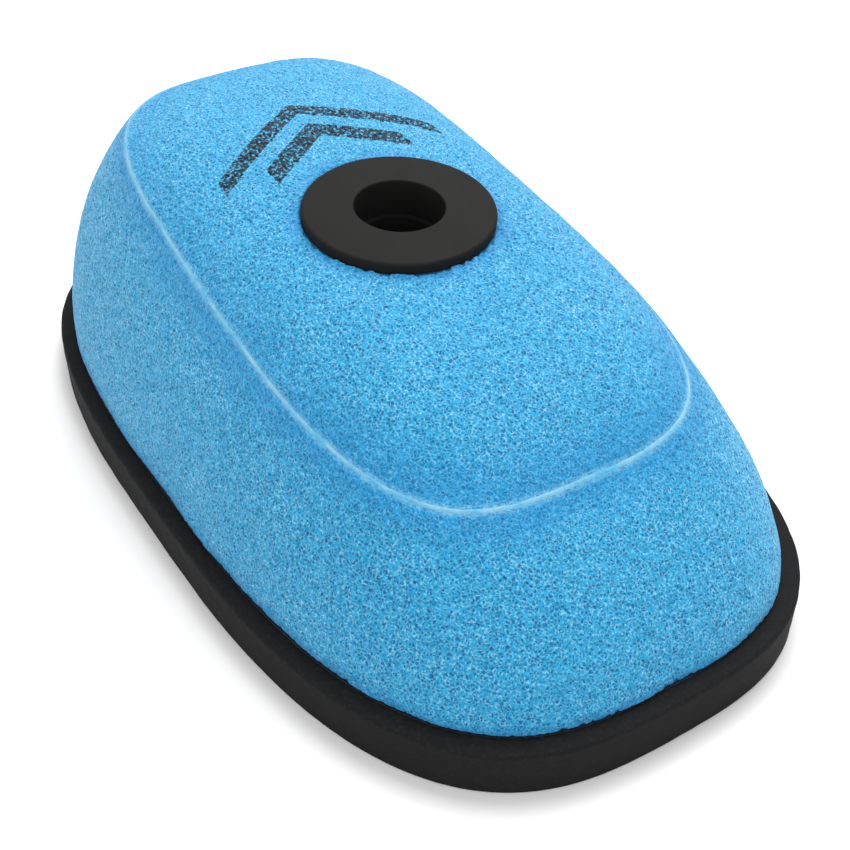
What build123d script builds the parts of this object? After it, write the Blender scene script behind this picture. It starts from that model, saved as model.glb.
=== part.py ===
from build123d import *
from math import atan, cos, degrees, pi, radians, sin, tan
import os

# Dual-layer foam air filter element for an off-road motorcycle.
#
# Frame: the sealing ring rests on the XY plane, +Z is up, +X runs towards the low, long-sloping end.
# Two foam layers form a hollow hood. Each layer is a skirt, closed by one glue line at the tall end,
# and a crowned top panel, joined to the skirt along a mitred bond in a tilted plane.
# A moulded grommet for the retaining bolt passes through both top panels.
#
# A place inside the hood is given by its depth: the distance in from the outer foam surface.

# Sealing ring
ring_length = 260
ring_half_width = 75
ring_height = 13
ring_band = 22
ring_squareness = 3.0

# Hood: outline of its foot on the ring, and outline of the seam between skirt and top panel
ring_ledge = 4.5
skirt_bulge = 0.21
seam_length = 185
seam_half_width = 50.5
seam_squareness = 3.4
seam_taper = 0.03
seam_height = 66
seam_tilt = 9.5

# Crowned top panel
crown_height = 14
crown_tilt = 7
crown_power = 4
plateau_share = 0.4

# Foam layers and bonds
coarse_thickness = 10
fine_thickness = 5
layer_gap = 0.3
mitre_angle = 47
base_bond = 0.4
coarse_seam_bond = 1.0
fine_seam_bond = 0.4
closing_bond = 1.0

# Retaining-bolt grommet and its backing washer
grommet_x = 8.5
grommet_tilt = 5
flange_diameter = 50
flange_thickness = 3
flange_rise = 0.6
flange_sink = 0.8
flange_edge_radius = 0.8
sleeve_diameter = 30
bore_diameter = 23.4
bore_depth = 10.6
ledge_hole_diameter = 21.4
bore_edge_radius = 0.4
washer_diameter = 46
washer_thickness = 2
washer_sink = 1.0
washer_edge = 0.4
grommet_bond = 0.4
hole_clearance = 0.3
sleeve_fit = 0.1

# Sections of the lofts
outline_points = 40
skirt_levels = (0, 0.25, 0.5, 0.75, 1)
crown_levels = (1, 0.96, 0.9, 0.82, 0.7, 0.55, plateau_share)

# Worked-out values
foot_level = ring_height + base_bond
fine_start = coarse_thickness + layer_gap
hood_thickness = fine_start + fine_thickness
reach = ring_length
grommet_bond_radius = flange_diameter / 2 - flange_edge_radius
hole_radius = sleeve_diameter / 2 + hole_clearance


def oval(half_length, half_width, squareness, taper=0.0):
    """Points of a squared oval, by angle; a taper widens its +X end."""
    points = []
    for step in range(outline_points):
        angle = 2 * pi * step / outline_points
        side = half_width * (1 + taper * cos(angle))
        along = (abs(cos(angle)) / half_length) ** squareness
        across = (abs(sin(angle)) / side) ** squareness
        radius = (along + across) ** (-1 / squareness)
        points.append(Vector(radius * cos(angle), radius * sin(angle)))
    return points


def ring_oval(inset):
    """Outline of the sealing ring, moved in by a distance."""
    return oval(ring_length / 2 - inset, ring_half_width - inset, ring_squareness)


def seam_oval(depth, growth=0.0):
    """Outline of the seam at a depth, drawn in the seam's own plane and grown by a distance."""
    inset = depth * cos(radians(mitre_angle)) - growth
    return oval(seam_length / 2 - inset, seam_half_width - inset, seam_squareness, seam_taper)


def seam_level(depth):
    """Height of the seam's plane at the origin, at a depth."""
    return seam_height - depth * sin(radians(mitre_angle))


def tilted_plane(height, tilt, x=0.0):
    """Plane at a height, turned about Y so that its +X side is the lower one."""
    return Plane(Location((x, 0, height), (0, tilt, 0)))


def outline(plane, points):
    """Closed smooth outline through points, as a face on a plane."""
    with BuildSketch(plane) as face:
        with BuildLine():
            Spline(*points, periodic=True)
        make_face()
    return face.sketch


def band(plane, outer_inset, inner_inset, height):
    """Flat band that follows the sealing ring between two insets from its outline."""
    extrude(outline(plane, ring_oval(outer_inset)), amount=height)
    extrude(outline(plane, ring_oval(inner_inset)), amount=height, mode=Mode.SUBTRACT)


def skirt_block(depth, mode=Mode.ADD):
    """Solid under the seam at a depth: outlines blend from foot to seam and bulge on the way."""
    foot = ring_oval(ring_ledge + depth)
    seam = seam_oval(depth)
    sections = []
    for level in skirt_levels:
        share = level - 4 * skirt_bulge * level * (1 - level)
        points = [low * (1 - share) + high * share for low, high in zip(foot, seam)]
        height = foot_level + (seam_level(depth) - foot_level) * level
        tilt = degrees(atan(level * tan(radians(seam_tilt))))
        sections.append(outline(tilted_plane(height, tilt), points))
    loft(sections, mode=mode)


def crown_block(depth, mode=Mode.ADD):
    """Solid over the seam at a depth: the seam's outline shrinks as it rises to a flat plateau."""
    seam = seam_oval(depth)
    rise = seam_height + crown_height - depth - seam_level(depth)
    sections = []
    for level in crown_levels:
        share = (1 - level**crown_power) / (1 - plateau_share**crown_power)
        tilt = seam_tilt + (crown_tilt - seam_tilt) * share
        plane = tilted_plane(seam_level(depth) + rise * share, tilt)
        sections.append(outline(plane, [point * level for point in seam]))
    loft(sections, mode=mode)


def mitre_block(start, end, growth, mode=Mode.ADD):
    """Cone between the seam's outlines at two depths, which cuts skirt from top panel."""
    sections = [
        outline(tilted_plane(seam_level(depth), seam_tilt), seam_oval(depth, growth))
        for depth in (end, start)
    ]
    loft(sections, ruled=True, mode=mode)


def skirt_shell(start, end, bond):
    """Skirt of one foam layer, up to the film of glue in the mitre."""
    skirt_block(start)
    skirt_block(end, mode=Mode.SUBTRACT)
    mitre_block(start, end, bond / 2, mode=Mode.SUBTRACT)


def closing_slab(mode):
    """Thin upright slab on the centre line of the tall end, where a skirt's two ends meet."""
    with Locations((-reach / 2, 0, reach / 2)):
        Box(reach, closing_bond, reach, mode=mode)


def panel_shell(start, end, bond):
    """Top panel of one foam layer, down to the film of glue in the mitre, with the grommet's hole."""
    crown_block(start)
    mitre_block(start, end, -bond / 2)
    crown_block(end, mode=Mode.SUBTRACT)
    with BuildSketch(grommet_plane) as hole:
        Circle(hole_radius)
    extrude(hole.sketch, amount=reach / 2, both=True, mode=Mode.SUBTRACT)


def tube(plane, outer_radius, inner_radius, height):
    """Round tube that stands on a plane."""
    with BuildSketch(plane) as wall:
        Circle(outer_radius)
        Circle(inner_radius, mode=Mode.SUBTRACT)
    extrude(wall.sketch, amount=height)


# The grommet's own plane: its origin is on the bolt's axis, level with the underside of the flange
plateau_height = seam_height + crown_height - grommet_x * tan(radians(crown_tilt))
grommet_plane = tilted_plane(plateau_height - flange_sink, grommet_tilt, grommet_x)
grip_length = hood_thickness - flange_sink - washer_sink
washer_top_plane = grommet_plane.offset(-grip_length)

ring_top = Plane.XY.offset(ring_height)

# Dense foam ring that seals against the airbox
with BuildPart() as sealing_ring:
    band(Plane.XY, 0, ring_band, ring_height)
sealing_ring.part.label = "sealing_ring"

# Glue films between the ring and the foot of each skirt
with BuildPart() as outer_base_bond:
    band(ring_top, ring_ledge, ring_ledge + coarse_thickness, base_bond)
outer_base_bond.part.label = "outer_base_bond"

with BuildPart() as inner_base_bond:
    band(ring_top, ring_ledge + fine_start, ring_ledge + hood_thickness, base_bond)
inner_base_bond.part.label = "inner_base_bond"

# Outer layer: coarse foam
with BuildPart() as outer_skirt:
    skirt_shell(0, coarse_thickness, coarse_seam_bond)
    closing_slab(Mode.SUBTRACT)
outer_skirt.part.label = "outer_skirt"

with BuildPart() as outer_closing_seam:
    skirt_shell(0, coarse_thickness, coarse_seam_bond)
    closing_slab(Mode.INTERSECT)
outer_closing_seam.part.label = "outer_closing_seam"

with BuildPart() as outer_seam_bond:
    mitre_block(0, coarse_thickness, coarse_seam_bond / 2)
    mitre_block(0, coarse_thickness, -coarse_seam_bond / 2, mode=Mode.SUBTRACT)
    crown_block(coarse_thickness, mode=Mode.SUBTRACT)
outer_seam_bond.part.label = "outer_seam_bond"

with BuildPart() as outer_top_panel:
    panel_shell(0, coarse_thickness, coarse_seam_bond)
    with BuildSketch(grommet_plane.offset(-grommet_bond)):
        Circle(flange_diameter / 2 + hole_clearance)
    extrude(amount=crown_height, mode=Mode.SUBTRACT)
outer_top_panel.part.label = "outer_top_panel"

# Inner layer: fine foam
with BuildPart() as inner_skirt:
    skirt_shell(fine_start, hood_thickness, fine_seam_bond)
    closing_slab(Mode.SUBTRACT)
inner_skirt.part.label = "inner_skirt"

with BuildPart() as inner_closing_seam:
    skirt_shell(fine_start, hood_thickness, fine_seam_bond)
    closing_slab(Mode.INTERSECT)
inner_closing_seam.part.label = "inner_closing_seam"

with BuildPart() as inner_seam_bond:
    mitre_block(fine_start, hood_thickness, fine_seam_bond / 2)
    mitre_block(fine_start, hood_thickness, -fine_seam_bond / 2, mode=Mode.SUBTRACT)
inner_seam_bond.part.label = "inner_seam_bond"

with BuildPart() as inner_top_panel:
    panel_shell(fine_start, hood_thickness, fine_seam_bond)
    with BuildSketch(washer_top_plane.offset(grommet_bond)):
        Circle(washer_diameter / 2 + hole_clearance)
    extrude(amount=-crown_height, mode=Mode.SUBTRACT)
inner_top_panel.part.label = "inner_top_panel"

# Moulded grommet: coned flange and stepped sleeve, turned about the bolt's axis
grommet_section = Plane(
    grommet_plane.origin, x_dir=grommet_plane.x_dir, z_dir=-grommet_plane.y_dir
)
flange_radius = flange_diameter / 2
sleeve_radius = sleeve_diameter / 2
bore_radius = bore_diameter / 2
ledge_radius = ledge_hole_diameter / 2
mouth_level = flange_thickness + flange_rise
ledge_level = mouth_level - bore_depth
sleeve_end = -grip_length - washer_thickness
with BuildPart() as bolt_grommet:
    with BuildSketch(grommet_section) as section:
        with BuildLine():
            Polyline(
                (flange_radius, 0),
                (flange_radius, flange_thickness),
                (bore_radius, mouth_level),
                (bore_radius, ledge_level),
                (ledge_radius, ledge_level),
                (ledge_radius, sleeve_end),
                (sleeve_radius, sleeve_end),
                (sleeve_radius, 0),
                close=True,
            )
        make_face()
        flange_rim, bore_mouth = section.vertices().sort_by(Axis.Y)[-2:]
        fillet(flange_rim, flange_edge_radius)
        fillet(bore_mouth, bore_edge_radius)
    revolve(axis=Axis(grommet_plane.origin, grommet_plane.z_dir))
bolt_grommet.part.label = "bolt_grommet"

with BuildPart() as flange_bond:
    tube(grommet_plane.offset(-grommet_bond), grommet_bond_radius, hole_radius, grommet_bond)
flange_bond.part.label = "flange_bond"

# Washer pressed on the sleeve inside the hood, and its glue
with BuildPart() as backing_washer:
    tube(
        washer_top_plane.offset(-washer_thickness),
        washer_diameter / 2,
        sleeve_radius + sleeve_fit,
        washer_thickness,
    )
backing_washer.part.label = "backing_washer"

with BuildPart() as washer_bond:
    tube(washer_top_plane, washer_diameter / 2 - washer_edge, hole_radius, grommet_bond)
washer_bond.part.label = "washer_bond"

os.makedirs("parts", exist_ok=True)
for piece in (
    sealing_ring,
    outer_base_bond,
    inner_base_bond,
    outer_skirt,
    outer_closing_seam,
    outer_seam_bond,
    outer_top_panel,
    inner_skirt,
    inner_closing_seam,
    inner_seam_bond,
    inner_top_panel,
    bolt_grommet,
    flange_bond,
    backing_washer,
    washer_bond,
):
    export_step(piece.part, f"parts/{piece.part.label}.step")
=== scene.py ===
"""Looks of a dual-layer foam air filter element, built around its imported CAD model.

The hood is two foam layers, each a skirt and a crowned top panel. Their surfaces are worked out
with numpy from the same formulas as the CAD model, on grids fine enough to hold the foam's pores.
A place in the hood is given by an angle about the vertical axis, a level and a depth: the distance
in from the outer foam surface. All sizes are in metres.
"""

import bpy
import numpy as np
from mathutils import Matrix, Vector


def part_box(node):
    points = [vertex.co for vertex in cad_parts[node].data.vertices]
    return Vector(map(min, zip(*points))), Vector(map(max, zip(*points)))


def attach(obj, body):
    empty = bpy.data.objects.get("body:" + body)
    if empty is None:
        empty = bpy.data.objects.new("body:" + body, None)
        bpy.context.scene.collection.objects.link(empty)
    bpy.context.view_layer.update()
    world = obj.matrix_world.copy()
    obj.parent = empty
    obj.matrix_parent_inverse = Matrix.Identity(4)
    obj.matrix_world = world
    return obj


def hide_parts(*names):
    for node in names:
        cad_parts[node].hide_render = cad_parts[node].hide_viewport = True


bl_info = {
    "name": "Foam air filter",
    "version": (1, 0, 0),
    "blender": (4, 5, 0),
    "location": "3D View > Sidebar > Foam filter",
    "description": "Builds the foam layers, ring, glue lines and grommet of an air filter element",
    "category": "Add Mesh",
}

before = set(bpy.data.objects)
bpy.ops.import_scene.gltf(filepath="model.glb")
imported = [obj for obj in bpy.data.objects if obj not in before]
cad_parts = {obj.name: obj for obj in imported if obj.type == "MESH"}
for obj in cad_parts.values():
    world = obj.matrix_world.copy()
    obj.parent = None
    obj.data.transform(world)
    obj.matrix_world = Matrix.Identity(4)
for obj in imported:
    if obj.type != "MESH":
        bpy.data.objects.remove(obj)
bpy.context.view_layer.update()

MM = 0.001
TURN = 2 * np.pi

# Sealing ring, from its CAD node
ring_low, ring_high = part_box("sealing_ring")
RING_HALF_LENGTH = (ring_high.x - ring_low.x) / 2
RING_HALF_WIDTH = (ring_high.y - ring_low.y) / 2
RING_HEIGHT = ring_high.z
RING_BAND = 22 * MM
RING_POWER = 3.0

# Hood: its foot on the ring, and the seam between skirt and top panel
LEDGE = 4.5 * MM
FOOT_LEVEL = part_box("outer_base_bond")[1].z
BULGE = 0.21
SEAM_HALF_LENGTH = 92.5 * MM
SEAM_HALF_WIDTH = 50.5 * MM
SEAM_POWER = 3.4
SEAM_TAPER = 0.03
SEAM_HEIGHT = 66 * MM
SEAM_TILT = np.radians(9.5)
CROWN_HEIGHT = 14 * MM
CROWN_TILT = np.radians(7)
CROWN_POWER = 4
PLATEAU = 0.4
MITRE = np.radians(47)

# Foam layers
COARSE_END = 10 * MM
FINE_START = 10.3 * MM
FINE_END = 15.3 * MM

# Grommet on the bolt's axis
GROMMET_X = 8.5 * MM
GROMMET_TILT = np.radians(5)
FLANGE_RADIUS = 25 * MM
FLANGE_THICKNESS = 3 * MM
FLANGE_RISE = 0.6 * MM
FLANGE_SINK = 0.8 * MM
SLEEVE_RADIUS = 15 * MM
BORE_RADIUS = 11.7 * MM
BORE_DEPTH = 10.6 * MM
LEDGE_RADIUS = 10.7 * MM
SLEEVE_LENGTH = 15.5 * MM
HOLE_RADIUS = 15.3 * MM
SLEEVE_FIT = 0.1 * MM
WASHER_RADIUS = 23 * MM
WASHER_THICKNESS = 2 * MM
WASHER_LEVEL = -13.5 * MM

# Glue films: across the two mitres, and at the tall end
COARSE_FILM = 1.0 * MM
FINE_FILM = 0.4 * MM
CLOSING_FILM = 1.0 * MM

# Relief of the foam, and how far its shading reaches from an edge
PORE_REST = 0.35
SLOW_WANDER = 0.35 * MM
FAST_WANDER = 0.12 * MM
SHOULDER = 1.5 * MM
GLUE_REACH = 1.3 * MM
FOOT_REACH = 7 * MM
SKIRT_SEAM_SHADE_REACH = 14 * MM
PANEL_SEAM_SHADE_REACH = 20 * MM
RIM_REACH = 6 * MM
SEAT_GAP = 0.42 * MM
RIM_GAP = 0.2 * MM
CUT_ANGLE = 0.005

# Distances between points of the smooth pieces
STRIP_SPACING = 0.6 * MM
RING_SPACING = 0.9 * MM
TURNED_SPACING = 0.8 * MM
HIDDEN_ROWS = 16

# Floor, and the point that the lamps face
FLOOR_HALF = 20.0
LAMP_AIM = (0, 0, 0.04)

# Soft lamps: name, share of the key light's power, side and place
LAMPS = (
    ("key", 1.0, 0.8, (-0.3, 0.4, 1.2)),
    ("gloss", 0.5, 0.9, (-0.6, 0.8, 0.95)),
    ("fill", 0.27, 1.2, (1.1, 0.0, 0.75)),
    ("side", 0.26, 1.2, (-0.1, -1.2, 0.7)),
)

# Camera's offset from the line to the frame's origin
CAMERA_RIGHT = 11.17 * MM
CAMERA_UP = 3.85 * MM


# ---------------------------------------------------------------- shapes of the hood and the ring


def oval_radius(angle, half_length, half_width, power, taper=0.0):
    """Squared oval: (|cos|/length)^power + (|sin|/width)^power, to the power -1/power."""
    side = half_width * (1 + taper * np.cos(angle))
    along = (np.abs(np.cos(angle)) / half_length) ** power
    across = (np.abs(np.sin(angle)) / side) ** power
    return (along + across) ** (-1 / power)


def ring_radius(angle, inset):
    """Radius of the sealing ring's outline, moved in by a distance."""
    return oval_radius(angle, RING_HALF_LENGTH - inset, RING_HALF_WIDTH - inset, RING_POWER)


def seam_radius(angle, depth):
    """Radius of the seam's outline at a depth, in the seam's own tilted plane."""
    inset = depth * np.cos(MITRE)
    return oval_radius(
        angle, SEAM_HALF_LENGTH - inset, SEAM_HALF_WIDTH - inset, SEAM_POWER, SEAM_TAPER
    )


def seam_level(depth):
    """Height of the seam's plane at the vertical axis, at a depth."""
    return SEAM_HEIGHT - depth * np.sin(MITRE)


def on_tilted_plane(along, across, height, tilt):
    """Points of a plane at a height, turned about Y so that its +X side is lower."""
    return np.stack(
        np.broadcast_arrays(along * np.cos(tilt), across, height - along * np.sin(tilt)), axis=-1
    )


def skirt_points(angle, level, depth):
    """Skirt: the outline blends from foot to seam by level - 4 bulge level (1 - level)."""
    share = level - 4 * BULGE * level * (1 - level)
    radius = ring_radius(angle, LEDGE + depth) * (1 - share) + seam_radius(angle, depth) * share
    height = FOOT_LEVEL + (seam_level(depth) - FOOT_LEVEL) * level
    tilt = np.arctan(level * np.tan(SEAM_TILT))
    return on_tilted_plane(radius * np.cos(angle), radius * np.sin(angle), height, tilt)


def crown_points(angle, reach, depth):
    """Top panel: reach runs from 0 at the grommet's hole to 1 at the seam, in straight plan lines.

    The height falls from the crown as 1 - level^4, where level is the share of the way to the seam.
    The hole follows the tilted bolt's axis down through the foam.
    """
    seam = seam_radius(angle, depth)
    hole_x = GROMMET_X - (depth - FLANGE_SINK) * np.tan(GROMMET_TILT)
    along = (hole_x + HOLE_RADIUS * np.cos(angle)) * (1 - reach) + seam * np.cos(angle) * reach
    across = HOLE_RADIUS * np.sin(angle) * (1 - reach) + seam * np.sin(angle) * reach
    bearing = np.arctan2(across, along)
    level = np.hypot(along, across) / seam_radius(bearing, depth)
    share = (1 - level**CROWN_POWER) / (1 - PLATEAU**CROWN_POWER)
    rise = SEAM_HEIGHT + CROWN_HEIGHT - depth - seam_level(depth)
    tilt = SEAM_TILT + (CROWN_TILT - SEAM_TILT) * share
    return on_tilted_plane(along, across, seam_level(depth) + rise * share, tilt)


def even_angles(spacing, radius, cut=0.0):
    """Angles that divide an outline, given as radius by angle, into equal lengths.

    A closed outline starts and ends at the tall end. A cut leaves that angle free on each side.
    """
    fine = np.linspace(cut - np.pi, np.pi - cut, 6001)
    x, y = radius(fine) * np.cos(fine), radius(fine) * np.sin(fine)
    length = np.concatenate(([0], np.cumsum(np.hypot(np.diff(x), np.diff(y)))))
    count = int(round(length[-1] / spacing))
    return np.interp(np.linspace(0, length[-1], count, endpoint=cut > 0), length, fine)


# ---------------------------------------------------------------- noise, relief and meshes


def scramble(cells, seed):
    """A repeatable random number from 0 to 1 for each whole-number cell."""
    whole = cells.astype(np.int64).astype(np.uint32)
    mixed = whole[..., 0] * np.uint32(374761393) + whole[..., 1] * np.uint32(668265263)
    mixed = mixed + whole[..., 2] * np.uint32(2246822519) + np.uint32(seed * 3266489917 % 2**32)
    mixed = (mixed ^ (mixed >> 13)) * np.uint32(1274126177)
    return ((mixed ^ (mixed >> 16)) & np.uint32(0xFFFFFF)) / float(0x1000000)


def smooth_noise(points, size, seed):
    """Value noise from -1 to 1: random corner values of a cubic lattice, blended smoothly."""
    scaled = points / size
    corner = np.floor(scaled)
    part = scaled - corner
    part = part * part * (3 - 2 * part)
    total = np.zeros(points.shape[:-1])
    for step in np.ndindex(2, 2, 2):
        weight = np.prod(np.where(step, part, 1 - part), axis=-1)
        total += weight * scramble(corner + step, seed)
    return 2 * total - 1


def cell_gap(points, size, seed):
    """Distance to the second nearest cell centre less that to the nearest: 0 on a cell's border."""
    scaled = points / size
    corner = np.floor(scaled)
    nearest = np.full(points.shape[:-1], 9.0)
    second = nearest.copy()
    for step in np.ndindex(3, 3, 3):
        cell = corner + step - 1
        jitter = np.stack([scramble(cell, seed + axis) for axis in range(3)], axis=-1)
        distance = np.linalg.norm(cell + jitter - scaled, axis=-1)
        second = np.minimum(second, np.maximum(nearest, distance))
        nearest = np.minimum(nearest, distance)
    return second - nearest


def smooth_step(low, high, value):
    """0 below low, 1 above high, and smooth between."""
    part = np.clip((value - low) / (high - low), 0, 1)
    return part * part * (3 - 2 * part)


def grid_normals(grid):
    """Unit normals of a grid whose rows and columns both close, pointing out of its solid."""
    down = np.roll(grid, -1, axis=0) - np.roll(grid, 1, axis=0)
    across = np.roll(grid, -1, axis=1) - np.roll(grid, 1, axis=1)
    normal = np.cross(down, across)
    normal /= np.maximum(np.linalg.norm(normal, axis=-1, keepdims=True), 1e-15)
    return -normal if inside_out(grid) else normal


def inside_out(grid):
    """True where rows times columns turn inwards, from the sign of the closed grid's volume."""
    below = np.roll(grid, -1, axis=0)
    turn = np.cross(below, np.roll(grid, -1, axis=1))
    return float(np.sum(grid * turn)) < 0


def make_piece(name, grid, finish, nodes, values=None, ends=False, folds=()):
    """Turns a grid into a smooth closed mesh piece that stands for CAD nodes.

    Rows always close round. Columns close too, or the first and last column each get a flat end.
    Folds are the rows along which the surface has a sharp edge.
    """
    rows, columns = grid.shape[:2]
    row, column = np.arange(rows)[:, None], np.arange(columns - 1 if ends else columns)[None, :]
    next_row, next_column = (row + 1) % rows, (column + 1) % columns
    corners = (
        row * columns + column,
        next_row * columns + column,
        next_row * columns + next_column,
        row * columns + next_column,
    )
    quads = np.stack(np.broadcast_arrays(*corners), axis=-1).reshape(-1, 4)
    caps = np.stack((np.arange(rows)[::-1] * columns, np.arange(rows) * columns + columns - 1))
    if inside_out(grid):
        quads, caps = quads[:, ::-1], caps[:, ::-1]
    caps = caps if ends else caps[:0]
    corner_list = np.concatenate((quads.ravel(), caps.ravel())).astype(np.int32)
    starts = np.concatenate(
        (np.arange(len(quads)) * 4, quads.size + np.arange(len(caps)) * rows)
    ).astype(np.int32)

    mesh = bpy.data.meshes.new(name)
    mesh.vertices.add(rows * columns)
    mesh.vertices.foreach_set("co", grid.astype(np.float32).ravel())
    mesh.loops.add(len(corner_list))
    mesh.loops.foreach_set("vertex_index", corner_list)
    mesh.polygons.add(len(starts))
    mesh.polygons.foreach_set("loop_start", starts)
    mesh.polygons.foreach_set("use_smooth", np.arange(len(starts)) < len(quads))
    for key, value in (values or {}).items():
        attribute = mesh.attributes.new(key, "FLOAT", "POINT")
        attribute.data.foreach_set("value", value.astype(np.float32).ravel())
    mesh.update(calc_edges=True)
    edge_rows = np.empty(2 * len(mesh.edges), dtype=np.int32)
    mesh.edges.foreach_get("vertices", edge_rows)
    edge_rows = edge_rows.reshape(-1, 2) // columns
    sharp = (edge_rows[:, 0] == edge_rows[:, 1]) & np.isin(edge_rows[:, 0], folds)
    mesh.attributes.new("sharp_edge", "BOOLEAN", "EDGE").data.foreach_set("value", sharp)
    mesh.materials.append(finish)
    piece = bpy.data.objects.new(name, mesh)
    bpy.context.scene.collection.objects.link(piece)
    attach(piece, "root")
    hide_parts(*nodes)
    return piece


def foam_relief(grid, shown, pore_size, pore_depth, seed):
    """Presses pores into a foam surface and lets it wander a little.

    The surface moves along its normal by the wander plus depth (PORE_REST - pore), where pore rises
    from 0 on the border between two random cells to 1 inside them. Shown is 0 on hidden faces.
    """
    gap = cell_gap(grid, pore_size, seed)
    pore = smooth_step(0.08, 0.55, gap)
    wander = SLOW_WANDER * smooth_noise(grid, 28 * MM, seed + 5)
    wander += FAST_WANDER * smooth_noise(grid, 6 * MM, seed + 6)
    height = (wander + pore_depth * (PORE_REST - pore)) * shown
    return grid + grid_normals(grid) * height[..., None], pore * shown


# ---------------------------------------------------------------- shader helpers


class Amount:
    """A socket of a material's node tree. Arithmetic on it adds Math nodes."""

    def __init__(self, finish, socket):
        self.finish = finish
        self.socket = socket

    def math(self, operation, *values):
        """A Math node on this number and others, in the order given."""
        return self.finish.maths(operation, self, *values)

    def __add__(self, other):
        return self.finish.maths("ADD", self, other)

    def __sub__(self, other):
        return self.finish.maths("SUBTRACT", self, other)

    def __rsub__(self, other):
        return self.finish.maths("SUBTRACT", other, self)

    def __mul__(self, other):
        return self.finish.maths("MULTIPLY", self, other)

    __radd__ = __add__
    __rmul__ = __mul__

    def step(self, low, high):
        """0 below low, 1 above high, and smooth between."""
        settings = {"interpolation_type": "SMOOTHSTEP"}
        inputs = {"Value": self, "From Min": low, "From Max": high}
        return self.finish.add("ShaderNodeMapRange", settings, inputs, "Result")

    def within(self, low, high, edge):
        """1 between two limits and 0 outside them, with soft edges."""
        return self.step(low, low + edge) * (1 - self.step(high - edge, high))


class Finish:
    """One procedural material with a Principled shader."""

    def __init__(self, name, **uniform):
        self.material = bpy.data.materials.new(name)
        self.material.use_nodes = True
        self.tree = self.material.node_tree
        self.shader = self.tree.nodes["Principled BSDF"]
        for key, value in uniform.items():
            self.shader.inputs[key.replace("_", " ")].default_value = value

    def add(self, kind, settings, inputs, output):
        """Adds a node: its settings first, then its sockets' values or links. Returns an output."""
        node = self.tree.nodes.new(kind)
        for key, value in settings.items():
            setattr(node, key, value)
        for key, value in inputs.items():
            self.feed(node.inputs[key], value)
        return Amount(self, node.outputs[output])

    def feed(self, socket, value):
        if isinstance(value, Amount):
            self.tree.links.new(value.socket, socket)
        else:
            socket.default_value = value

    def maths(self, operation, *values):
        inputs = dict(enumerate(values))
        return self.add("ShaderNodeMath", {"operation": operation}, inputs, "Value")

    def place(self):
        """Object coordinates, in metres."""
        return self.add("ShaderNodeTexCoord", {}, {}, "Object")

    def along(self, place, axis):
        """One coordinate of a place."""
        return self.add("ShaderNodeSeparateXYZ", {}, {"Vector": place}, axis)

    def noise(self, place, size, detail=2.0, output="Fac"):
        """Cloudy noise whose blobs are about one size across."""
        inputs = {"Vector": place, "Scale": 1 / size, "Detail": detail}
        return self.add("ShaderNodeTexNoise", {}, inputs, output)

    def cells(self, place, size, feature="DISTANCE_TO_EDGE"):
        """Distance to the border, or to the centre, of random cells of a size."""
        inputs = {"Vector": place, "Scale": 1 / size}
        return self.add("ShaderNodeTexVoronoi", {"feature": feature}, inputs, "Distance")

    def shift(self, place, by, amount):
        """Moves a place by a vector times an amount."""
        inputs = {0: by, 1: (amount, amount, amount), 2: place}
        return self.add("ShaderNodeVectorMath", {"operation": "MULTIPLY_ADD"}, inputs, "Vector")

    def mix(self, share, first, second):
        """Blends two colours."""
        inputs = {"Factor": share, 6: first, 7: second}
        return self.add("ShaderNodeMix", {"data_type": "RGBA"}, inputs, 2)

    def stored(self, name):
        """A number that the mesh stores for each point."""
        return self.add("ShaderNodeAttribute", {"attribute_name": name}, {}, "Fac")

    def bump(self, height, distance, strength):
        """Relief too fine for the mesh."""
        inputs = {"Height": height, "Distance": distance, "Strength": strength}
        self.feed(self.shader.inputs["Normal"], self.add("ShaderNodeBump", {}, inputs, "Normal"))

    def paint(self, socket, value):
        self.feed(self.shader.inputs[socket], value)


def colour(values):
    """An RGBA tuple from a colour property."""
    return (*values, 1.0)


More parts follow.
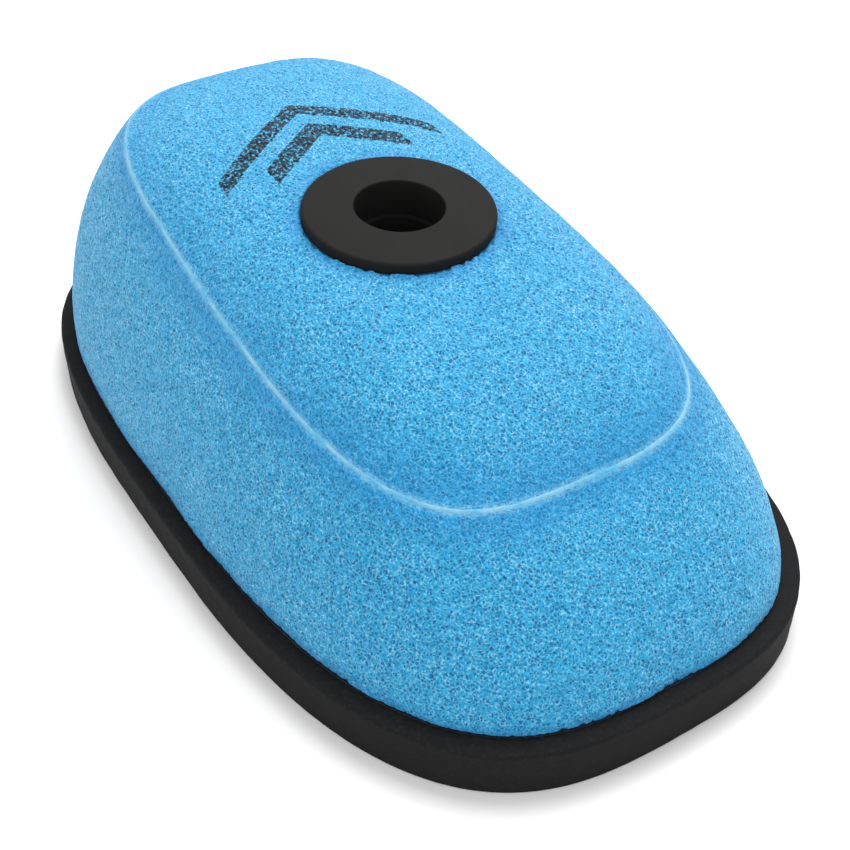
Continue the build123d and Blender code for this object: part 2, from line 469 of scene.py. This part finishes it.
def foam_finish(name, light, dark, pore_size, pale_glue, ink=None):
    """Reticulated foam: a soft bright net of strands round dark pores, some deep and some shallow.

    The foam is deeper in colour at the foot and round the flange's rim, partly as denser pressed
    foam and partly as painted shade.
    Along the seam, most towards the low end, the deeper colour is painted shade of the valley under
    the seam and of the panel's slope.
    The strands carry painted glints, dimmed in these bands.
    """
    finish = Finish(name, Roughness=0.55, Sheen_Weight=0.3, Sheen_Roughness=0.4)
    finish.shader.inputs["Sheen Tint"].default_value = (0.6, 0.85, 1.0, 1.0)
    finish.shader.inputs["Specular IOR Level"].default_value = 0.35
    place = finish.place()
    wobble = finish.noise(place, pore_size, 2.0, "Color")
    bent = finish.shift(place, wobble, pore_size * 0.6)
    hollow = finish.cells(bent, pore_size * 0.6).step(0.0, 0.3)
    lower = finish.shift(place, wobble, pore_size * -1.7)
    small_hollow = finish.cells(lower, pore_size * 0.4).step(0.0, 0.34)
    deep = finish.noise(place, pore_size * 0.7, 1.0).step(0.3, 0.66)
    pore = finish.stored("pore")
    shade = hollow * (deep * 0.4 + 0.28) + small_hollow * 0.26 + pore * 0.1
    # Band at the foot and round the flange's rim: partly denser pressed foam, partly painted shade
    tuck_and_shade = finish.stored("foot")
    body = finish.mix(shade.step(0.1, 0.88), light, dark)
    # Deeper colour of the bands: partly pressed foam and partly painted shade at the foot and rim,
    # painted shade at the seam
    dense_and_shaded = tuple(0.35 * a + 0.65 * b for a, b in zip(dark, light))
    dense_and_shaded = (0.4 * dense_and_shaded[0], 0.8 * dense_and_shaded[1], dense_and_shaded[2], 1.0)
    # Band along the seam: painted shade of the valley under it, and of the panel's low end
    seam_shade = finish.stored("seam_shade")
    body = finish.mix(seam_shade * 0.5 + tuck_and_shade * 0.75, body, dense_and_shaded)
    pale = tuple(0.3 + 0.7 * value**0.5 for value in light[:3]) + (1.0,)
    strand = 1 - hollow
    cloud = finish.noise(place, 16 * MM, 3.0).step(0.25, 0.7)
    glint = strand * finish.noise(place, pore_size * 0.42).step(0.46, 0.66) * 0.72
    glint = glint * (cloud * 0.3 + 0.55) * (1 - tuck_and_shade * 0.8) * (1 - seam_shade * 0.6)
    body = finish.mix(glint, body, pale)
    soaked = finish.stored("glue") * finish.noise(place, 1.2 * MM, 2.0).step(0.2, 0.7)
    body = finish.mix(soaked * 0.65, body, pale_glue)
    rough = 0.62 - glint * 0.4
    if ink is not None:
        inked = ink(finish, place, strand)
        body = finish.mix(inked, body, (0.004, 0.004, 0.005, 1.0))
        rough = rough + inked * 0.38
    finish.paint("Base Color", body)
    finish.paint("Roughness", rough)
    finish.bump(1 - shade, 0.35 * MM, 0.7)
    return finish.material


def sealing_foam_finish(tone):
    """Dense black foam: fine closed cells, a little greyer in dusty patches."""
    finish = Finish("sealing_foam", Roughness=0.8)
    finish.shader.inputs["Specular IOR Level"].default_value = 0.08
    place = finish.place()
    grain = finish.cells(place, 0.45 * MM, "F1")
    dust = finish.noise(place, 0.9 * MM, 4.0).step(0.45, 0.75)
    pale = tuple(2.4 * value for value in tone[:3]) + (1.0,)
    finish.paint("Base Color", finish.mix(dust * 0.55, tone, pale))
    finish.paint("Roughness", 0.7 + dust * 0.2)
    finish.bump(grain, 0.12 * MM, 0.6)
    return finish.material


def moulded_finish(tone):
    """Moulded black rubber: matte, with a faint bloom and a fine grain from its mould."""
    finish = Finish("moulded_black", Roughness=0.55)
    finish.shader.inputs["Specular IOR Level"].default_value = 0.06
    place = finish.place()
    bloom = finish.noise(place, 9 * MM, 4.0).step(0.35, 0.8)
    pale = tuple(1.5 * value for value in tone[:3]) + (1.0,)
    finish.paint("Base Color", finish.mix(bloom * 0.3, tone, pale))
    finish.paint("Roughness", 0.62 + bloom * 0.12)
    finish.bump(finish.noise(place, 0.35 * MM, 3.0), 0.03 * MM, 0.5)
    return finish.material


def sealing_glue_finish():
    """Glue between the ring and the foam's foot, darkened by the ring."""
    finish = Finish("dark_glue", Roughness=0.5)
    dust = finish.noise(finish.place(), 1.1 * MM, 3.0).step(0.4, 0.7)
    black, bluish = (0.012, 0.014, 0.018, 1.0), (0.02, 0.035, 0.055, 1.0)
    finish.paint("Base Color", finish.mix(dust, black, bluish))
    finish.bump(dust, 0.08 * MM, 0.5)
    return finish.material


def floor_finish(tone):
    """Plain matte floor, lit a little from below."""
    finish = Finish("floor", Base_Color=tone)
    finish.shader.inputs["Specular IOR Level"].default_value = 0.0
    finish.shader.inputs["Emission Color"].default_value = (1.0, 1.0, 1.0, 1.0)
    finish.shader.inputs["Emission Strength"].default_value = 0.03
    finish.paint("Roughness", finish.noise(finish.place(), 0.4) * 0.1 + 0.85)
    return finish.material


def glue_finish(name, pale, foam):
    """Cured contact glue: pale where it stands on the foam and foam-coloured where it soaked in."""
    finish = Finish(name, Roughness=0.6)
    finish.shader.inputs["Specular IOR Level"].default_value = 0.2
    place = finish.place()
    soaked = finish.noise(place, 7 * MM, 3.0).step(0.36, 0.7)
    fleck = finish.noise(place, 0.9 * MM, 2.0).step(0.4, 0.7)
    finish.paint("Base Color", finish.mix(soaked * 0.6 + fleck * 0.25, pale, foam))
    finish.bump(fleck, 0.1 * MM, 0.5)
    return finish.material


def chevron_mark(tip_x, spread, band):
    """Ink of a generic mark, as a function of a material: two nested chevrons pointing along -X."""

    def ink(finish, place, net):
        ragged = (finish.noise(place, 1.8 * MM, 3.0) - 0.5) * (2.4 * MM)
        side = finish.along(place, "Y").math("ABSOLUTE") + ragged
        sweep = finish.along(place, "X") + ragged - (side * 0.72 + tip_x)
        outer = sweep.within(0, band, 0.4 * MM) * (1 - side.step(spread, spread + 0.4 * MM))
        inner_spread = 0.62 * spread
        inner = sweep.within(1.9 * band, 3.1 * band, 0.4 * MM)
        inner = inner * (1 - side.step(inner_spread, inner_spread + 0.4 * MM))
        missed = finish.noise(place, 0.9 * MM, 3.0).step(0.52, 0.6)
        return (outer + inner) * (1 - missed * 0.9) * (net * 0.15 + 0.85)

    return ink


# ---------------------------------------------------------------- foam layers and glue lines


def seam_wander(points):
    """How far the seam strays along the foam's surface from its true line, up towards the panel."""
    slow = 0.32 * MM * smooth_noise(points, 11 * MM, 71)
    return slow + 0.13 * MM * smooth_noise(points, 3 * MM, 72)


def skirt_rate(angle, depth):
    """Surface length per level of a skirt just below the seam."""
    step = 0.01
    below = skirt_points(angle, 1 - step, depth)
    return np.linalg.norm(skirt_points(angle, 1.0, depth) - below, axis=-1) / step


def crown_rate(angle, depth):
    """Surface length per reach of a top panel just inside the seam."""
    step = 0.01
    inside = crown_points(angle, 1 - step, depth)
    return np.linalg.norm(crown_points(angle, 1.0, depth) - inside, axis=-1) / step


def skirt_edge(angle, film, depth):
    """Level of a skirt's upper edge, below the seam by half the glue film."""
    stray = seam_wander(skirt_points(angle, 1.0, depth))
    return 1 - (film / 2 - stray) / skirt_rate(angle, depth)


def crown_edge(angle, film, depth):
    """Reach of a top panel's outer edge, inside the seam by half the glue film."""
    stray = seam_wander(crown_points(angle, 1.0, depth))
    return 1 - (film / 2 + stray) / crown_rate(angle, depth)


def wall_loop(shown_count, hidden_count, start, end, outside_shown):
    """Share up the wall and depth of each row of a foam wall's section, and its four folds' rows.

    The closed loop goes up the outside, through the edge at the seam, down the inside and back
    through the foot.
    """
    edge_count = 10
    up = np.linspace(0, 1, shown_count if outside_shown else hidden_count, endpoint=False)
    down = np.linspace(1, 0, hidden_count if outside_shown else shown_count, endpoint=False)
    through = np.linspace(0, 1, edge_count, endpoint=False)
    share = np.concatenate((up, np.ones(edge_count), down, np.zeros(edge_count)))
    depth_share = np.concatenate((0 * up, through, np.ones(len(down)), 1 - through))
    folds = (0, len(up), len(up) + edge_count, len(up) + edge_count + len(down))
    return share[:, None], (start + (end - start) * depth_share)[:, None], folds


def layer_skirt(start, end, film, spacing, outside_shown):
    """Grid of a skirt, cut open at the tall end, and what goes with it.

    Returns the grid, a mask of what shows, the share up the wall, the distance from the seam and
    the rows of the folds.
    """
    angle = even_angles(
        spacing, lambda a: (ring_radius(a, LEDGE) + seam_radius(a, 0.0)) / 2, CUT_ANGLE
    )
    wall = np.linalg.norm(skirt_points(0.0, 1.0, 0.0) - skirt_points(0.0, 0.0, 0.0))
    shown_count = int(1.25 * wall / spacing)
    share, depth, folds = wall_loop(shown_count, HIDDEN_ROWS, start, end, outside_shown)
    seen_depth = start if outside_shown else end
    top = skirt_edge(angle, film, seen_depth)[None, :]
    grid = skirt_points(angle[None, :], share * top, depth)
    shown = np.broadcast_to(depth == seen_depth, grid.shape[:2]).astype(float)
    from_seam = (1 - share) * skirt_rate(angle, seen_depth)[None, :]
    return grid, shown, share, from_seam, folds


def layer_panel(start, end, film, spacing, outside_shown):
    """Grid of a top panel with the grommet's hole, and the same values as layer_skirt."""
    angle = even_angles(spacing, lambda a: seam_radius(a, start))
    shown_count = int((SEAM_HALF_LENGTH - HOLE_RADIUS) / spacing)
    share, depth, folds = wall_loop(shown_count, HIDDEN_ROWS, start, end, outside_shown)
    seen_depth = start if outside_shown else end
    edge = crown_edge(angle, film, seen_depth)[None, :]
    grid = crown_points(angle[None, :], share * edge, depth)
    shown = np.broadcast_to(depth == seen_depth, grid.shape[:2]).astype(float)
    from_seam = (1 - share) * crown_rate(angle, seen_depth)[None, :]
    return grid, shown, share, from_seam, folds


def near(distance, width):
    """1 at no distance, falling smoothly to 0 at a width."""
    return 1 - smooth_step(0, width, distance)


def finished_foam(grid, shown, from_seam, pore_size, pore_depth, seed):
    """Relief of a foam wall: pores and wander, which fade out where the foam meets the glue."""
    surface, pore = foam_relief(grid, shown, pore_size, pore_depth, seed)
    shoulder = near(from_seam, SHOULDER) * shown
    return surface + (grid - surface) * shoulder[..., None], pore


def flatten_ends(grid):
    """Brings a cut wall's two ends to the flat faces of the closing glue line."""
    flat = grid.copy()
    flat[:, 0, 1] = -CLOSING_FILM / 2
    flat[:, -1, 1] = CLOSING_FILM / 2
    return flat


STRIP_FOLDS = (0, 7, 13, 20)


def strip_loop():
    """Share across and share through a glue film of each row of its section, between its folds."""
    face, side = np.linspace(0, 1, 7, endpoint=False), np.linspace(0, 1, 6, endpoint=False)
    across = np.concatenate((face, np.ones(6), 1 - face, np.zeros(6)))
    through = np.concatenate((0 * face, side, np.ones(7), 1 - side))
    return across[:, None], through[:, None]


def seam_line(start, end, film, spacing):
    """Glue film along the mitre, from edge to edge of the two foam walls, as a closed strip.

    Its shown faces swell by a small uneven bead, highest half way across.
    """
    angle = even_angles(spacing, lambda a: seam_radius(a, start))
    across, through = strip_loop()
    depth = start + (end - start) * through
    low = skirt_points(angle[None, :], skirt_edge(angle, film, start)[None, :], depth)
    high = crown_points(angle[None, :], crown_edge(angle, film, start)[None, :], depth)
    strip = low + (high - low) * across[..., None]
    bead = (0.1 + 0.06 * smooth_noise(strip, 2.5 * MM, 81)) * np.sin(np.pi * across)
    return strip + grid_normals(strip) * (bead * MM * (through % 1 == 0))[..., None]


def closing_line(start, end, film, spacing):
    """Upright glue film at the tall end, where a skirt's two ends meet, as a closed strip."""
    wall = np.linalg.norm(skirt_points(np.pi, 1.0, start) - skirt_points(np.pi, 0.0, start))
    level = np.linspace(0, float(skirt_edge(np.pi, film, start)), int(wall / spacing))[None, :]
    across, through = strip_loop()
    strip = skirt_points(np.full(level.shape, np.pi), level, start + (end - start) * through)
    strip[..., 1] = (across - 0.5) * CLOSING_FILM
    bead = (0.1 + 0.06 * smooth_noise(strip, 2.5 * MM, 83)) * np.sin(np.pi * across)
    return strip + grid_normals(strip) * (bead * MM * (through % 1 == 0))[..., None]


# ---------------------------------------------------------------- rounded and turned pieces


def rounded_loop(corners, radii, spacing):
    """Closed outline through corners, each rounded by an arc-like curve that starts a radius away.

    A corner's curve is a quadratic Bezier on the points a radius before and after it.
    """
    corners, radii = np.array(corners, float), np.array(radii, float)[:, None]
    back, ahead = np.roll(corners, 1, axis=0) - corners, np.roll(corners, -1, axis=0) - corners
    first = corners + radii * back / np.linalg.norm(back, axis=-1, keepdims=True)
    last = corners + radii * ahead / np.linalg.norm(ahead, axis=-1, keepdims=True)
    t = np.linspace(0, 1, 9)[:, None]
    outline = []
    for begin, corner, finish, following in zip(first, corners, last, np.roll(first, -1, axis=0)):
        outline.append((1 - t) ** 2 * begin + 2 * t * (1 - t) * corner + t**2 * finish)
        count = int(np.linalg.norm(following - finish) / spacing) + 1
        outline.append(finish + (following - finish) * np.linspace(0, 1, count + 1)[1:-1, None])
    return np.concatenate(outline)


def ring_grid(spacing, edge):
    """Sealing ring: a rounded band section carried round the ring's outline by its inset."""
    corners = ((0, 0), (0, RING_HEIGHT), (RING_BAND, RING_HEIGHT), (RING_BAND, 0))
    section = rounded_loop(corners, (0.6 * edge, edge, edge, 0.6 * edge), spacing)
    angle = even_angles(spacing, lambda a: ring_radius(a, 0.0))[None, :]
    radius = ring_radius(angle, section[:, :1])
    height = np.broadcast_to(section[:, 1:], radius.shape)
    return np.stack((radius * np.cos(angle), radius * np.sin(angle), height), axis=-1)


def turned_grid(corners, radii, spacing, count):
    """A rounded section of (radius, height) corners turned about the bolt's axis."""
    section = rounded_loop(corners, radii, spacing)
    angle = np.linspace(0, TURN, count, endpoint=False)[None, :]
    radius, height = section[:, :1], section[:, 1:]
    forward = np.array((np.cos(GROMMET_TILT), 0, -np.sin(GROMMET_TILT)))
    axis = np.array((np.sin(GROMMET_TILT), 0, np.cos(GROMMET_TILT)))
    x, y = (radius * np.cos(angle))[..., None], (radius * np.sin(angle))[..., None]
    level = np.broadcast_to(height, y.shape[:2])[..., None]
    return grommet_origin() + x * forward + y * np.array((0, 1, 0)) + level * axis


def grommet_origin():
    """Middle of the flange's underside, sunk in the plateau of the outer top panel."""
    plateau = SEAM_HEIGHT + CROWN_HEIGHT - GROMMET_X * np.tan(CROWN_TILT)
    return np.array((GROMMET_X, 0, plateau - FLANGE_SINK))


def along_bolt(points):
    """Distance from the bolt's axis, and height along it over the flange's underside."""
    axis = np.array((np.sin(GROMMET_TILT), 0, np.cos(GROMMET_TILT)))
    offset = points - grommet_origin()
    height = offset @ axis
    return np.linalg.norm(offset - height[..., None] * axis, axis=-1), height, axis


# ---------------------------------------------------------------- sizes and colours to change


class CoarseFoamSettings(bpy.types.PropertyGroup):
    """Outer layer."""

    pore_size: bpy.props.FloatProperty(
        name="Pore size", description="Spacing of the pores", default=1.5 * MM, unit="LENGTH"
    )
    pore_depth: bpy.props.FloatProperty(
        name="Pore depth", description="How far pores sink", default=0.42 * MM, unit="LENGTH"
    )
    spacing: bpy.props.FloatProperty(
        name="Mesh spacing", description="Distance between points", default=0.52 * MM, unit="LENGTH"
    )
    light: bpy.props.FloatVectorProperty(
        name="Strands", description="Colour of the strands", subtype="COLOR",
        default=(0.011, 0.36, 0.655),
    )
    dark: bpy.props.FloatVectorProperty(
        name="Pores", description="Colour deep in the pores", subtype="COLOR",
        default=(0.002, 0.115, 0.32),
    )


class FineFoamSettings(bpy.types.PropertyGroup):
    """Inner layer."""

    pore_size: bpy.props.FloatProperty(
        name="Pore size", description="Spacing of the pores", default=1.15 * MM, unit="LENGTH"
    )
    pore_depth: bpy.props.FloatProperty(
        name="Pore depth", description="How far pores sink", default=0.2 * MM, unit="LENGTH"
    )
    spacing: bpy.props.FloatProperty(
        name="Mesh spacing", description="Distance between points", default=0.6 * MM, unit="LENGTH"
    )
    light: bpy.props.FloatVectorProperty(
        name="Strands", description="Colour of the strands", subtype="COLOR",
        default=(0.02, 0.28, 0.55),
    )
    dark: bpy.props.FloatVectorProperty(
        name="Pores", description="Colour deep in the pores", subtype="COLOR",
        default=(0.002, 0.07, 0.22),
    )


class BlackPartSettings(bpy.types.PropertyGroup):
    """Sealing ring, grommet and washer."""

    ring_edge: bpy.props.FloatProperty(
        name="Ring edge", description="Rounding of the ring's edges", default=1.3 * MM,
        unit="LENGTH",
    )
    ring_tone: bpy.props.FloatVectorProperty(
        name="Ring", description="Colour of the dense foam", subtype="COLOR",
        default=(0.0105, 0.0105, 0.011),
    )
    moulded_tone: bpy.props.FloatVectorProperty(
        name="Rubber", description="Colour of the moulded rubber", subtype="COLOR",
        default=(0.0145, 0.014, 0.0135),
    )


class GlueSettings(bpy.types.PropertyGroup):
    """Glue lines, and the printed mark."""

    pale: bpy.props.FloatVectorProperty(
        name="Glue", description="Colour of cured glue on the foam", subtype="COLOR",
        default=(0.24, 0.50, 0.66),
    )
    mark_tip: bpy.props.FloatProperty(
        name="Mark's tip", description="Place of the mark along the hood", default=-52 * MM,
        unit="LENGTH",
    )
    mark_spread: bpy.props.FloatProperty(
        name="Mark's half width", description="Half the mark's width", default=33 * MM,
        unit="LENGTH",
    )
    mark_band: bpy.props.FloatProperty(
        name="Mark's band", description="Width of the mark's bands", default=6.5 * MM, unit="LENGTH"
    )


class StageSettings(bpy.types.PropertyGroup):
    """Floor, lights and camera."""

    floor_tone: bpy.props.FloatVectorProperty(
        name="Floor", description="Colour of the floor", subtype="COLOR", default=(0.92, 0.92, 0.92)
    )
    surround: bpy.props.FloatProperty(
        name="Surround", description="Strength of the even light", default=0.7
    )
    key: bpy.props.FloatProperty(
        name="Key light", description="Power of the large lamp overhead", default=12.0, unit="POWER"
    )
    azimuth: bpy.props.FloatProperty(
        name="Azimuth", description="Camera's bearing from +X", default=np.radians(-32.5),
        subtype="ANGLE",
    )
    elevation: bpy.props.FloatProperty(
        name="Elevation", description="Camera's height angle", default=np.radians(38.3),
        subtype="ANGLE",
    )
    distance: bpy.props.FloatProperty(
        name="Distance", description="Camera to the frame's origin", default=385.7 * MM,
        unit="LENGTH",
    )
    lens: bpy.props.FloatProperty(
        name="Lens", description="Focal length in millimetres", default=55.06
    )


# ---------------------------------------------------------------- operators


def build_layer(settings, prefix, start, end, film, outside_shown, finish, seed):
    """Makes the skirt and top panel of one foam layer."""
    spacing = settings.spacing
    grid, shown, share, from_seam, folds = layer_skirt(start, end, film, spacing, outside_shown)
    surface, pore = finished_foam(
        grid, shown, from_seam, settings.pore_size, settings.pore_depth, seed
    )
    foot_run = np.broadcast_to(share, shown.shape) * skirt_rate(np.pi / 2, start)
    # Band at the foot: frays the edge, and in the finish is partly pressed foam, partly painted
    # shade
    foot = near(foot_run, FOOT_REACH) * shown
    ragged = 0.5 * MM * smooth_noise(grid, 9 * MM, seed + 8) - 0.7 * MM * near(foot_run, 1.2 * MM)
    surface = surface + grid_normals(grid) * (ragged * foot)[..., None]
    surface[..., 2] = np.maximum(surface[..., 2], FOOT_LEVEL)
    skirt = make_piece(
        prefix + "_skirt_foam",
        flatten_ends(surface),
        finish,
        [prefix + "_skirt"],
        {
            "pore": pore,
            # partly pressed foam, partly painted shade at the foot
            "foot": foot,
            "glue": near(from_seam, GLUE_REACH) * shown,
            # painted shade of the valley under the seam
            "seam_shade": near(from_seam, SKIRT_SEAM_SHADE_REACH) * shown,
        },
        ends=True,
        folds=folds,
    )

    grid, shown, share, from_seam, folds = layer_panel(start, end, film, spacing, outside_shown)
    surface, pore = finished_foam(
        grid, shown, from_seam, settings.pore_size, settings.pore_depth, seed + 20
    )
    distance, height, axis = along_bolt(surface)
    ragged = 0.25 * MM * smooth_noise(surface, 1.3 * MM, seed + 9)
    if outside_shown:
        seat, rim = -SEAT_GAP, FLANGE_RADIUS + RIM_GAP
        pressed = np.minimum(height, seat)
    else:
        seat, rim = WASHER_LEVEL + SEAT_GAP, WASHER_RADIUS + RIM_GAP
        pressed = np.maximum(height, seat)
    under = shown * (1 - smooth_step(rim - 0.15 * MM, rim + 0.3 * MM, distance + ragged))
    frayed = 2 * ragged * near(np.abs(distance - rim - 0.4 * MM), 0.8 * MM) * shown
    surface = surface + axis * ((pressed - height) * under + frayed)[..., None]
    # Band round the flange's rim: partly pressed foam, partly painted shade beside the flange
    band = near(distance - rim, RIM_REACH) * (0.8 + 0.3 * smooth_noise(surface, 5 * MM, seed + 10))
    # The painted seam shade is stronger towards the low end, whose slope faces away from the light
    toward_low_end = 0.4 + 0.5 * smooth_step(10 * MM, 70 * MM, surface[..., 0])
    panel = make_piece(
        prefix + "_panel_foam",
        surface,
        finish,
        [prefix + "_top_panel"],
        {
            "pore": pore,
            # partly pressed foam, partly painted shade round the flange's rim
            "foot": band * shown,
            "glue": near(from_seam, GLUE_REACH) * shown,
            # painted shade along the seam, most towards the low end
            "seam_shade": near(from_seam, PANEL_SEAM_SHADE_REACH) * shown * toward_low_end,
        },
        folds=folds,
    )


class FOAM_FILTER_OT_outer_layer(bpy.types.Operator):
    """Outer layer of coarse foam, with the printed mark on its top panel"""

    bl_idname = "foam_filter.outer_layer"
    bl_label = "Outer layer"

    def execute(self, context):
        settings, glue = context.scene.coarse_foam, context.scene.foam_glue
        mark = chevron_mark(glue.mark_tip, glue.mark_spread, glue.mark_band)
        finish = foam_finish(
            "coarse_foam", colour(settings.light), colour(settings.dark), settings.pore_size,
            colour(glue.pale), mark,
        )
        build_layer(
            settings, "outer", 0.0, COARSE_END, COARSE_FILM, True, finish, 11
        )
        return {"FINISHED"}


class FOAM_FILTER_OT_inner_layer(bpy.types.Operator):
    """Inner layer of fine foam"""

    bl_idname = "foam_filter.inner_layer"
    bl_label = "Inner layer"

    def execute(self, context):
        settings = context.scene.fine_foam
        finish = foam_finish(
            "fine_foam", colour(settings.light), colour(settings.dark), settings.pore_size,
            colour(context.scene.foam_glue.pale),
        )
        build_layer(
            settings, "inner", FINE_START, FINE_END, FINE_FILM, False, finish, 41
        )
        return {"FINISHED"}


class FOAM_FILTER_OT_sealing_ring(bpy.types.Operator):
    """Dense foam ring"""

    bl_idname = "foam_filter.sealing_ring"
    bl_label = "Sealing ring"

    def execute(self, context):
        black = context.scene.black_parts
        grid = ring_grid(RING_SPACING, black.ring_edge)
        above = smooth_step(0, 1 * MM, grid[..., 2])
        wander = 0.25 * MM * smooth_noise(grid, 22 * MM, 91) * above
        wander += 0.1 * MM * smooth_noise(grid, 3 * MM, 92) * above
        grid = grid + grid_normals(grid) * wander[..., None]
        grid[..., 2] = np.clip(grid[..., 2], 0, RING_HEIGHT)
        finish = sealing_foam_finish(colour(black.ring_tone))
        ring = make_piece("ring_foam", grid, finish, ["sealing_ring"])
        return {"FINISHED"}


class FOAM_FILTER_OT_glue(bpy.types.Operator):
    """Glue lines of both layers, and the finishes of the glue films between pieces"""

    bl_idname = "foam_filter.glue"
    bl_label = "Glue"

    def execute(self, context):
        pale = colour(context.scene.foam_glue.pale)
        outer = glue_finish("glue", pale, colour(context.scene.coarse_foam.light))
        inner = glue_finish("fine_glue", pale, colour(context.scene.fine_foam.light))
        lines = (
            ("outer", 0.0, COARSE_END, COARSE_FILM, outer),
            ("inner", FINE_START, FINE_END, FINE_FILM, inner),
        )
        for prefix, start, end, film, finish in lines:
            strip = seam_line(start, end, film, STRIP_SPACING)
            node = prefix + "_seam_bond"
            make_piece(prefix + "_seam_line", strip, finish, [node], folds=STRIP_FOLDS)
            strip = closing_line(start, end, film, STRIP_SPACING)
            node = prefix + "_closing_seam"
            name = prefix + "_closing_line"
            make_piece(name, strip, finish, [node], ends=True, folds=STRIP_FOLDS)
        dark = sealing_glue_finish()
        for node in ("outer_base_bond", "inner_base_bond"):
            wear(node, dark)
        for node in ("flange_bond", "washer_bond"):
            wear(node, outer)
        return {"FINISHED"}


class FOAM_FILTER_OT_grommet(bpy.types.Operator):
    """Moulded grommet and its backing washer"""

    bl_idname = "foam_filter.grommet"
    bl_label = "Grommet and washer"

    def execute(self, context):
        finish = moulded_finish(colour(context.scene.black_parts.moulded_tone))
        mouth = FLANGE_THICKNESS + FLANGE_RISE
        ledge = mouth - BORE_DEPTH
        corners = (
            (FLANGE_RADIUS, 0),
            (FLANGE_RADIUS, FLANGE_THICKNESS),
            (BORE_RADIUS, mouth),
            (BORE_RADIUS, ledge),
            (LEDGE_RADIUS, ledge),
            (LEDGE_RADIUS, -SLEEVE_LENGTH),
            (SLEEVE_RADIUS, -SLEEVE_LENGTH),
            (SLEEVE_RADIUS, 0),
        )
        radii = np.array((0.3, 0.9, 0.5, 0.3, 0.2, 0.3, 0.3, 0.3)) * MM
        grid = turned_grid(corners, radii, TURNED_SPACING, 288)
        make_piece("grommet_moulding", grid, finish, ["bolt_grommet"])
        corners = (
            (WASHER_RADIUS, WASHER_LEVEL - WASHER_THICKNESS),
            (WASHER_RADIUS, WASHER_LEVEL),
            (SLEEVE_RADIUS + SLEEVE_FIT, WASHER_LEVEL),
            (SLEEVE_RADIUS + SLEEVE_FIT, WASHER_LEVEL - WASHER_THICKNESS),
        )
        radii = np.array((0.4, 0.2, 0.2, 0.4)) * MM
        grid = turned_grid(corners, radii, TURNED_SPACING, 256)
        make_piece("washer_moulding", grid, finish, ["backing_washer"])
        return {"FINISHED"}


class FOAM_FILTER_OT_stage(bpy.types.Operator):
    """Floor, studio lights and camera"""

    bl_idname = "foam_filter.stage"
    bl_label = "Stage"

    def execute(self, context):
        stage = context.scene.filter_stage
        scene = context.scene
        floor_mesh = bpy.data.meshes.new("floor")
        half = FLOOR_HALF
        corners = [(-half, -half, 0), (half, -half, 0), (half, half, 0), (-half, half, 0)]
        floor_mesh.from_pydata(corners, [], [(0, 1, 2, 3)])
        floor_mesh.materials.append(floor_finish(colour(stage.floor_tone)))
        floor = bpy.data.objects.new("floor", floor_mesh)
        scene.collection.objects.link(floor)

        world = bpy.data.worlds.new("surround")
        world.use_nodes = True
        backdrop = world.node_tree.nodes["Background"]
        backdrop.inputs["Color"].default_value = (1.0, 1.0, 1.0, 1.0)
        backdrop.inputs["Strength"].default_value = stage.surround
        scene.world = world
        for name, share, size, place in LAMPS:
            add_lamp(name, stage.key * share, size, Vector(place))

        azimuth, elevation = stage.azimuth, stage.elevation
        level = np.cos(elevation)
        back = Vector((np.cos(azimuth) * level, np.sin(azimuth) * level, np.sin(elevation)))
        right = Vector((-np.sin(azimuth), np.cos(azimuth), 0))
        up = back.cross(right)
        place = back * stage.distance + right * CAMERA_RIGHT + up * CAMERA_UP
        camera = bpy.data.objects.new("camera", bpy.data.cameras.new("camera"))
        camera.data.lens = stage.lens
        camera.data.sensor_width = 36
        camera.data.clip_start = 0.01
        turn = Matrix((right, up, back)).transposed().to_4x4()
        camera.matrix_world = Matrix.Translation(place) @ turn
        scene.collection.objects.link(camera)
        scene.camera = camera
        scene.view_settings.view_transform = "Standard"
        return {"FINISHED"}


def add_lamp(name, power, size, place):
    """Square soft lamp that faces the middle of the filter."""
    lamp = bpy.data.lights.new(name, "AREA")
    lamp.energy = power
    lamp.size = size
    holder = bpy.data.objects.new(name, lamp)
    facing = (place - Vector(LAMP_AIM)).to_track_quat("Z", "Y")
    holder.matrix_world = Matrix.Translation(place) @ facing.to_matrix().to_4x4()
    bpy.context.scene.collection.objects.link(holder)


def wear(node, finish):
    """Gives a CAD node that stays its finish."""
    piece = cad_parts[node]
    piece.data.materials.clear()
    piece.data.materials.append(finish)


SETTINGS = {
    "coarse_foam": CoarseFoamSettings,
    "fine_foam": FineFoamSettings,
    "black_parts": BlackPartSettings,
    "foam_glue": GlueSettings,
    "filter_stage": StageSettings,
}
STEPS = (
    FOAM_FILTER_OT_outer_layer,
    FOAM_FILTER_OT_inner_layer,
    FOAM_FILTER_OT_sealing_ring,
    FOAM_FILTER_OT_glue,
    FOAM_FILTER_OT_grommet,
    FOAM_FILTER_OT_stage,
)


class FOAM_FILTER_PT_panel(bpy.types.Panel):
    """Settings and steps of the foam filter"""

    bl_label = "Foam filter"
    bl_space_type = "VIEW_3D"
    bl_region_type = "UI"
    bl_category = "Foam filter"

    def draw(self, context):
        for name, group in SETTINGS.items():
            box = self.layout.box()
            box.label(text=name.replace("_", " ").capitalize())
            for key in group.__annotations__:
                box.prop(getattr(context.scene, name), key)
        for step in STEPS:
            self.layout.operator(step.bl_idname)


def register():
    for group in SETTINGS.values():
        bpy.utils.register_class(group)
    for step in STEPS:
        bpy.utils.register_class(step)
    bpy.utils.register_class(FOAM_FILTER_PT_panel)
    for name, group in SETTINGS.items():
        setattr(bpy.types.Scene, name, bpy.props.PointerProperty(type=group))


def unregister():
    for name in SETTINGS:
        delattr(bpy.types.Scene, name)
    bpy.utils.unregister_class(FOAM_FILTER_PT_panel)
    for step in reversed(STEPS):
        bpy.utils.unregister_class(step)
    for group in reversed(tuple(SETTINGS.values())):
        bpy.utils.unregister_class(group)


def main():
    register()
    for step in STEPS:
        group, name = step.bl_idname.split(".")
        getattr(getattr(bpy.ops, group), name)()
    bpy.context.view_layer.update()


if __name__ == "__main__":
    main()
